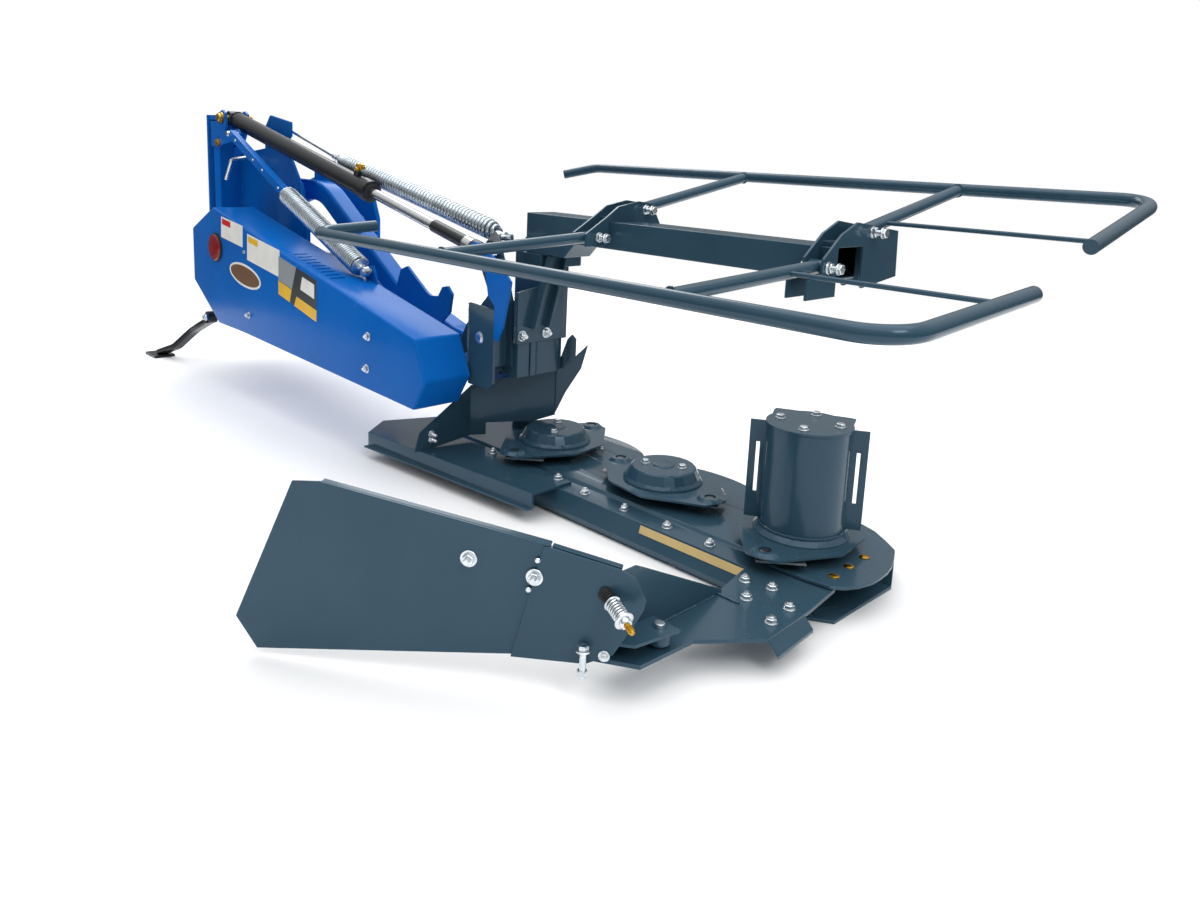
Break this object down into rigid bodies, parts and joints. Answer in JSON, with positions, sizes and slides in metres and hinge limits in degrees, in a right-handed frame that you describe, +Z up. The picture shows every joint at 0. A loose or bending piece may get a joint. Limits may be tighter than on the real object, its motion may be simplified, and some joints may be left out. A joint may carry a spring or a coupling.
{
  "type": "disc mower",
  "caption": "Side-mounted disc mower for a three-point linkage: folding cutter bar with crop hoops, belt drive, lift cylinder, outer drum and swath board.",
  "frame": {"origin": "on the ground under the middle disc's axis, at the sole of its stone guard", "axes": "+X along the cutter bar to its outer end, +Y the travel direction, +Z up"},
  "size_m": [3.482, 1.6384, 1.022],
  "materials": {
    "blue_paint": "glossy blue paint",
    "dark_paint": "glossy blue-grey paint",
    "zinc": "zinc plated steel",
    "black_paint": "satin black paint",
    "chrome_rod": "polished hard chrome",
    "bare_steel": "ground knife steel"
  },
  "bodies": {
    "headstock": {"headstock": "blue_paint", "king_pin": "zinc", "hitch_pins": "zinc", "stand_bracket": "blue_paint"},
    "stand": {"stand_leg": "black_paint"},
    "arm": {"arm_mast": "blue_paint", "cylinder_pin": "zinc", "lift_arm": "blue_paint", "belt_guard": "blue_paint", "belt_backplate": "blue_paint", "catch_plate": "blue_paint", "strut_lug": "blue_paint", "driven_flange": "dark_paint", "strut_channel": "blue_paint", "strut_spring": "zinc", "float_spring": "zinc", "spring_rod": "zinc"},
    "input_shaft": {"pto_shaft": "bare_steel"},
    "lift_barrel": {"cylinder_barrel": "black_paint"},
    "lift_rod": {"cylinder_rod": "chrome_rod"},
    "cutter": {"cutter_frame": "dark_paint", "lift_lever": "blue_paint", "fold_pin": "zinc", "lever_pins": "zinc", "column": "dark_paint", "carrier_beam": "dark_paint", "bevel_gearbox": "dark_paint", "inner_bracket": "dark_paint", "outer_bracket": "dark_paint", "gear_case": "dark_paint", "inner_shoe": "dark_paint", "inner_skid": "dark_paint", "outer_shoe": "dark_paint", "crop_divider": "dark_paint", "divider_wing": "dark_paint", "stone_guard_1": "dark_paint", "stone_guard_2": "dark_paint", "stone_guard_3": "dark_paint", "board_pin": "zinc"},
    "disc_1": {"disc_1": "dark_paint", "disc_1_knives": "bare_steel"},
    "disc_2": {"disc_2": "dark_paint", "disc_2_knives": "bare_steel"},
    "disc_3": {"disc_3": "dark_paint", "disc_3_knives": "bare_steel", "drum": "dark_paint", "drum_top": "dark_paint"},
    "front_hoop": {"front_hoop": "dark_paint"},
    "rear_hoop": {"rear_hoop": "dark_paint"},
    "swath_board": {"swath_board": "dark_paint", "swath_extension": "dark_paint", "board_arm": "dark_paint"}
  },
  "joints": [
    {"name": "stand_swing", "type": "hinge", "parent": "headstock", "child": "stand", "pos_m": [-2.205, -0.24, 0.205], "axis": [0, 1, 0], "range_deg": [0, 95]},
    {"name": "arm_breakaway", "type": "hinge", "parent": "headstock", "child": "arm", "pos_m": [-2.205, -0.17, 0.6], "axis": [0, 0, -1], "range_deg": [0, 25]},
    {"name": "input_spin", "type": "hinge", "parent": "arm", "child": "input_shaft", "pos_m": [-1.85, 0, 0.48], "axis": [0, 1, 0], "continuous": true},
    {"name": "cutter_fold", "type": "hinge", "parent": "arm", "child": "cutter", "pos_m": [-0.64, 0, 0.31], "axis": [0, -1, 0], "range_deg": [-5, 90], "deforming": ["float_spring"]},
    {"name": "lift_barrel_swing", "type": "hinge", "parent": "arm", "child": "lift_barrel", "pos_m": [-2.125, -0.16, 0.992], "axis": [0, -1, 0], "range_deg": [-15, 1]},
    {"name": "lift_rod_slide", "type": "slide", "parent": "lift_barrel", "child": "lift_rod", "axis": [0.9757, 0, -0.2192], "range_m": [-0.325, 0.02]},
    {"name": "disc_1_spin", "type": "hinge", "parent": "cutter", "child": "disc_1", "pos_m": [-0.41, 0, 0.1], "axis": [0, 0, 1], "continuous": true},
    {"name": "disc_2_spin", "type": "hinge", "parent": "cutter", "child": "disc_2", "pos_m": [0, 0, 0.1], "axis": [0, 0, 1], "continuous": true},
    {"name": "disc_3_spin", "type": "hinge", "parent": "cutter", "child": "disc_3", "pos_m": [0.41, 0, 0.1], "axis": [0, 0, 1], "continuous": true},
    {"name": "front_hoop_swing", "type": "hinge", "parent": "cutter", "child": "front_hoop", "pos_m": [0.1, 0.085, 0.78], "axis": [1, 0, 0], "range_deg": [0, 40]},
    {"name": "rear_hoop_swing", "type": "hinge", "parent": "cutter", "child": "rear_hoop", "pos_m": [0.1, -0.085, 0.712], "axis": [-1, 0, 0], "range_deg": [0, 50]},
    {"name": "board_swing", "type": "hinge", "parent": "cutter", "child": "swath_board", "pos_m": [0.478, -0.56, 0.1], "axis": [0, 0, 1], "range_deg": [0, 20], "stiffness_Nm_per_rad": 200, "springref_deg": -5.73}
  ],
  "couplings": [
    {"joint": "lift_barrel_swing", "follows": "cutter_fold", "ratio": -0.15798},
    {"joint": "lift_rod_slide", "follows": "cutter_fold", "m_per_rad": -0.20442},
    {"joint": "disc_1_spin", "follows": "disc_3_spin", "ratio": 1},
    {"joint": "disc_2_spin", "follows": "disc_3_spin", "ratio": -1}
  ]
}
